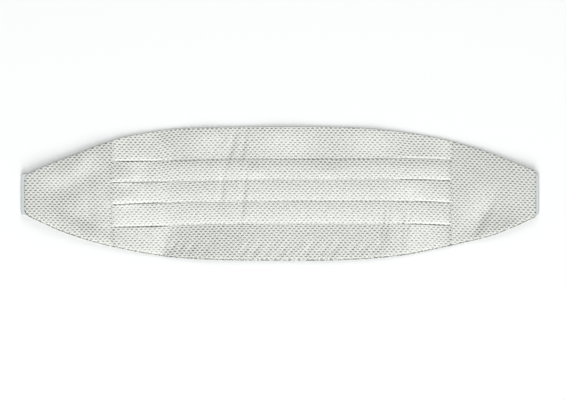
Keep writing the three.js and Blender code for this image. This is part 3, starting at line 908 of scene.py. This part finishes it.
def woven_cloth(name, lean, tilt):
    """Satin with a pin dot. lean shears the columns and tilt turns the rows, as cut and pulled cloth does."""
    material, shader = new_finish(name, Specular_IOR_Level=0.6, Sheen_Weight=0.1, Sheen_Roughness=0.4)
    uv = add_node(material, "ShaderNodeUVMap", {}, uv_map="Cloth")
    drift = add_node(
        material, "ShaderNodeTexNoise", {"Vector": uv, "Scale": 0.05, "Detail": 1.0}, 1, noise_dimensions="2D"
    )
    centred = vector_math(material, "SUBTRACT", drift, (0.5, 0.5, 0.5))
    sway = vector_math(material, "MULTIPLY", centred, (1.5, 1.5, 0))
    place = vector_math(material, "ADD", uv, sway)
    across = np.array([1 / DOT_SPACE, lean / DOT_SPACE, 0])
    up = np.array([tilt / ROW_SPACE, 1 / ROW_SPACE, 0])
    a = vector_math(material, "DOT_PRODUCT", place, tuple(across + up))
    b = vector_math(material, "DOT_PRODUCT", place, tuple(across - up))
    lattice = add_node(material, "ShaderNodeCombineXYZ", {"X": a, "Y": b})
    dot = ramp(material, nearest_point(material, lattice, 0.5), 0.55, 1.25, 1.0, 0.0)
    painted_shine_spots = ramp(material, nearest_point(material, lattice, 0.0), 0.3, 1.3, 1.0, 0.0)
    row = math(material, "COSINE", math(material, "MULTIPLY", math(material, "SUBTRACT", a, b), 2 * np.pi))
    uneven = add_node(
        material, "ShaderNodeTexNoise", {"Vector": uv, "Scale": 0.35, "Detail": 2.0}, noise_dimensions="2D"
    )
    strength = ramp(material, uneven, 0.3, 0.6, 0.75, 1.0)
    # Painted highlight: lighter spots between every four dots stand for the satin's shine.
    colour = blend(material, painted_shine_spots, linear(GROUND), linear(PAINTED_SHINE))
    colour = blend(material, ramp(material, row, 0.2, 1.0, 0.0, 0.16), colour, linear(DOT))
    colour = blend(material, math(material, "MULTIPLY", dot, strength), colour, linear(DOT))
    # Painted shade: a broken dark line is painted along the lower edge, where the face turns under.
    edge = add_node(material, "ShaderNodeAttribute", {}, 2, attribute_name="edge_line")
    dashes = add_node(
        material, "ShaderNodeTexNoise", {"Vector": uv, "Scale": 0.5, "Detail": 0.0}, noise_dimensions="2D"
    )
    close = ramp(material, edge, 0.8, 1.3, 1.0, 0.0)
    broken = ramp(material, dashes, 0.4, 0.55, 0.4, 1.0)
    painted_edge_shade = math(material, "MULTIPLY", close, broken)
    plug(material, blend(material, painted_edge_shade, colour, linear(LOWER_EDGE_SHADE)), shader, "Base Color")
    plug(material, ramp(material, dot, 0.0, 1.0, 0.3, 1.0), shader, "Metallic")
    plug(material, ramp(material, dot, 0.0, 1.0, 0.4, 0.3), shader, "Roughness")
    bump = add_node(material, "ShaderNodeBump", {"Height": dot, "Strength": 0.4, "Distance": 0.00008})
    plug(material, bump, shader, "Normal")
    return material


pleat_cloth = woven_cloth("woven pin dot, pleats", 0.075, 0.0)
left_cloth = woven_cloth("woven pin dot, left end", 0.06, 0.0)
right_cloth = woven_cloth("woven pin dot, right end", 0.075, 0.0323)
print("weave: a dot every", DOT_SPACE, "mm, a row every", ROW_SPACE / 2, "mm")

# %% [markdown]
# ## Lining, strap and clasp
# The lining is a plain off-white satin. The strap is a grosgrain band, so it has fine ribs across its
# length. The clasp is stamped from plated steel sheet, brushed along its length.

# %% Plain finishes
RIB = 1.2  # from one rib of the strap to the next


def lining_finish():
    """Off-white polyester lining, woven so fine that only a soft unevenness shows."""
    material, shader = new_finish("lining satin", Roughness=0.5, Specular_IOR_Level=0.5)
    uv = add_node(material, "ShaderNodeUVMap", {}, uv_map="Cloth")
    uneven = add_node(
        material, "ShaderNodeTexNoise", {"Vector": uv, "Scale": 0.4, "Detail": 3.0}, noise_dimensions="2D"
    )
    plug(material, blend(material, uneven, linear("#DDDCD7"), linear("#EBEAE6")), shader, "Base Color")
    return material


def strap_finish():
    """Grosgrain band: fine ribs across its length, as a shallow wave."""
    material, shader = new_finish("strap grosgrain", Roughness=0.6, Specular_IOR_Level=0.4)
    uv = add_node(material, "ShaderNodeUVMap", {}, uv_map="Cloth")
    along = vector_math(material, "DOT_PRODUCT", uv, (2 * np.pi / RIB, 0, 0))
    rib = math(material, "SINE", along)
    # Painted shade: the colour is darker between the ribs than on their tops.
    colour = blend(material, ramp(material, rib, -1, 1), linear("#C6CCCE"), linear("#D3D9DB"))
    plug(material, colour, shader, "Base Color")
    bump = add_node(material, "ShaderNodeBump", {"Height": rib, "Strength": 0.5, "Distance": 0.00008})
    plug(material, bump, shader, "Normal")
    return material


def clasp_finish():
    """Nickel-plated steel sheet, brushed along its length: noise stretched twenty times."""
    material, shader = new_finish("brushed nickel", Metallic=1.0)
    place = add_node(material, "ShaderNodeTexCoord", {}, 3)
    stretched = vector_math(material, "MULTIPLY", place, (150, 3000, 3000))
    grain = add_node(material, "ShaderNodeTexNoise", {"Vector": stretched, "Scale": 1.0, "Detail": 3.0})
    plug(material, blend(material, grain, linear("#A9ABAD"), linear("#C9CBCD")), shader, "Base Color")
    plug(material, ramp(material, grain, 0.3, 0.7, 0.24, 0.36), shader, "Roughness")
    return material


lining_satin, grosgrain, nickel = lining_finish(), strap_finish(), clasp_finish()
print([m.name for m in (lining_satin, grosgrain, nickel)])

# %% [markdown]
# ## Each cloth takes its solid's place
# The frame is told which solid each cloth stands for, that it rides on the part's one body, and how large
# the cloth would be laid flat. The clasp stays a solid, because a stamped plate is one already and nothing
# of it shows.

# %% Places, slots and flat sizes
PIECES = [
    (pleats, "pleated_panel", "face_cloth", pleat_cloth),
    (left_end, "left_end_panel", "face_cloth", left_cloth),
    (right_end, "right_end_panel", "face_cloth", right_cloth),
    (lining, "back_lining", "lining_cloth", lining_satin),
    (left_strap, "left_strap", "strap_band", grosgrain),
    (right_strap, "right_strap", "strap_band", grosgrain),
]
for piece, node, slot, finish in PIECES:
    piece.data.materials.append(finish)
    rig.ride(piece, "root")
    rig.replaces(piece, node)
    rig.slot(piece, slot)

clasp = frame["nodes"]["clasp_plate"]
clasp.data.materials.clear()
clasp.data.materials.append(nickel)

LEFT_CUT = 0.103  # height of the left end's cloth at its seam, in metres
RIGHT_CUT = 0.1
STRAP_WIDTH = 0.04
pleat_flat = ((RIGHT_SEAM - LEFT_SEAM) * MM, unfolded.max() * MM)
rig.sheet(pleats, flat=pleat_flat, held="folded", rests_on=("back_lining",))
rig.sheet(left_end, flat=((LEFT_SEAM + TIP) * MM, LEFT_CUT), held="laid", rests_on=("back_lining",))
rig.sheet(right_end, flat=((TIP - RIGHT_SEAM) * MM, RIGHT_CUT), held="laid", rests_on=("back_lining",))
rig.sheet(lining, flat=(BODY_LENGTH * MM, (CENTRE_HEIGHT + LINING_RIM) * MM), held="laid")
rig.sheet(left_strap, flat=(left_strap_length * MM, STRAP_WIDTH), held="folded")
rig.sheet(right_strap, flat=(right_strap_length * MM, STRAP_WIDTH), held="folded")
print(len(PIECES), "cloths stand for their solids")

# %% [markdown]
# ## The table, the light and the camera
# The picture was taken from straight above on white paper. A tall softbox beyond the lower edge throws the
# soft shadows past the upper edge and the tips. A high softbox hangs almost where the cloth would mirror it
# to the camera, so the satin brightens, and its dots fade, wherever the cloth faces the lower edge a
# little. A weaker softbox on the far side and the white room fill the shadows to a pale grey. A sun lamp
# would be simpler, but satin needs something broad to mirror.

# %% White paper
FLOOR_HALF = 3.0
paper = bpy.data.meshes.new("paper")
paper_corners = [(x * FLOOR_HALF, y * FLOOR_HALF, 0) for x, y in ((-1, -1), (1, -1), (1, 1), (-1, 1))]
paper.from_pydata(paper_corners, [], [(0, 1, 2, 3)])
floor = bpy.data.objects.new("paper", paper)
bpy.context.collection.objects.link(floor)
paper_white, paper_shader = new_finish("white paper", Roughness=0.9, Specular_IOR_Level=0.1)
paper_shader.inputs["Base Color"].default_value = linear("#F2F3F3")
paper.materials.append(paper_white)
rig.stage(floor)
print("paper", 2 * FLOOR_HALF, "m across")

# %% Lamps and room
ROOM = 0.42
LAMPS = [
    {"name": "tall softbox", "place": (0.0, -3.4, 2.5), "wide": 1.6, "tall": 2.9, "watts": 118.0},
    {"name": "high softbox", "place": (0.12, -0.95, 3.8), "wide": 1.8, "tall": 1.4, "watts": 38.0},
    {"name": "far softbox", "place": (0.0, 3.2, 2.4), "wide": 3.0, "tall": 2.0, "watts": 34.0},
]
world = bpy.data.worlds.new("white room")
bpy.context.scene.world = world
world.use_nodes = True
world.node_tree.nodes["Background"].inputs["Color"].default_value = (1.0, 1.0, 1.0, 1.0)
world.node_tree.nodes["Background"].inputs["Strength"].default_value = ROOM
for row in LAMPS:
    lamp_data = bpy.data.lights.new(row["name"], "AREA")
    lamp_data.shape = "RECTANGLE"
    lamp_data.size, lamp_data.size_y = row["wide"], row["tall"]
    lamp_data.energy = row["watts"]
    lamp = bpy.data.objects.new(row["name"], lamp_data)
    lamp.location = row["place"]
    lamp.rotation_euler = lamp.location.to_track_quat("Z", "Y").to_euler()
    bpy.context.collection.objects.link(lamp)
print(len(LAMPS), "lamps, all facing the middle of the table")

# %% [markdown]
# The camera looks straight down from well above, so that the sash isn't foreshortened. The lens is worked
# out from the width of table that the picture shows. The sash lies a little left of the picture's middle
# and above it.

# %% Camera
PICTURE_WIDTH = 0.5473  # metres of table across the picture
CAMERA_HEIGHT = 2.6
CAMERA_ASIDE = 0.0027  # from the sash's middle towards its right end
CAMERA_BELOW = 0.0071  # and towards its lower edge
SENSOR_WIDTH = 36
camera_data = bpy.data.cameras.new("camera")
camera_data.sensor_width = SENSOR_WIDTH
camera_data.lens = SENSOR_WIDTH * CAMERA_HEIGHT / PICTURE_WIDTH
camera = bpy.data.objects.new("camera", camera_data)
camera.location = (MIDDLE[0] * MM + CAMERA_ASIDE, MIDDLE[1] * MM - CAMERA_BELOW, CAMERA_HEIGHT)
bpy.context.collection.objects.link(camera)
bpy.context.scene.camera = camera
bpy.context.scene.view_settings.view_transform = "Standard"
print(f"camera {CAMERA_HEIGHT} m up, {camera_data.lens:.0f} mm lens")

# %% [markdown]
# ## Sizes of the solids and of the dressed sash
# The dressed sash has to keep the size of the imported solids, so both boxes are written down for comparison.

# %% Sizes of the solids and of the dressed sash, side by side
full_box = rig.bounds()
with open("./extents.json", "w") as out:
    json.dump({"solids": [list(c) for c in solid_box], "visual": [list(c) for c in full_box]}, out)
print(open("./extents.json").read())
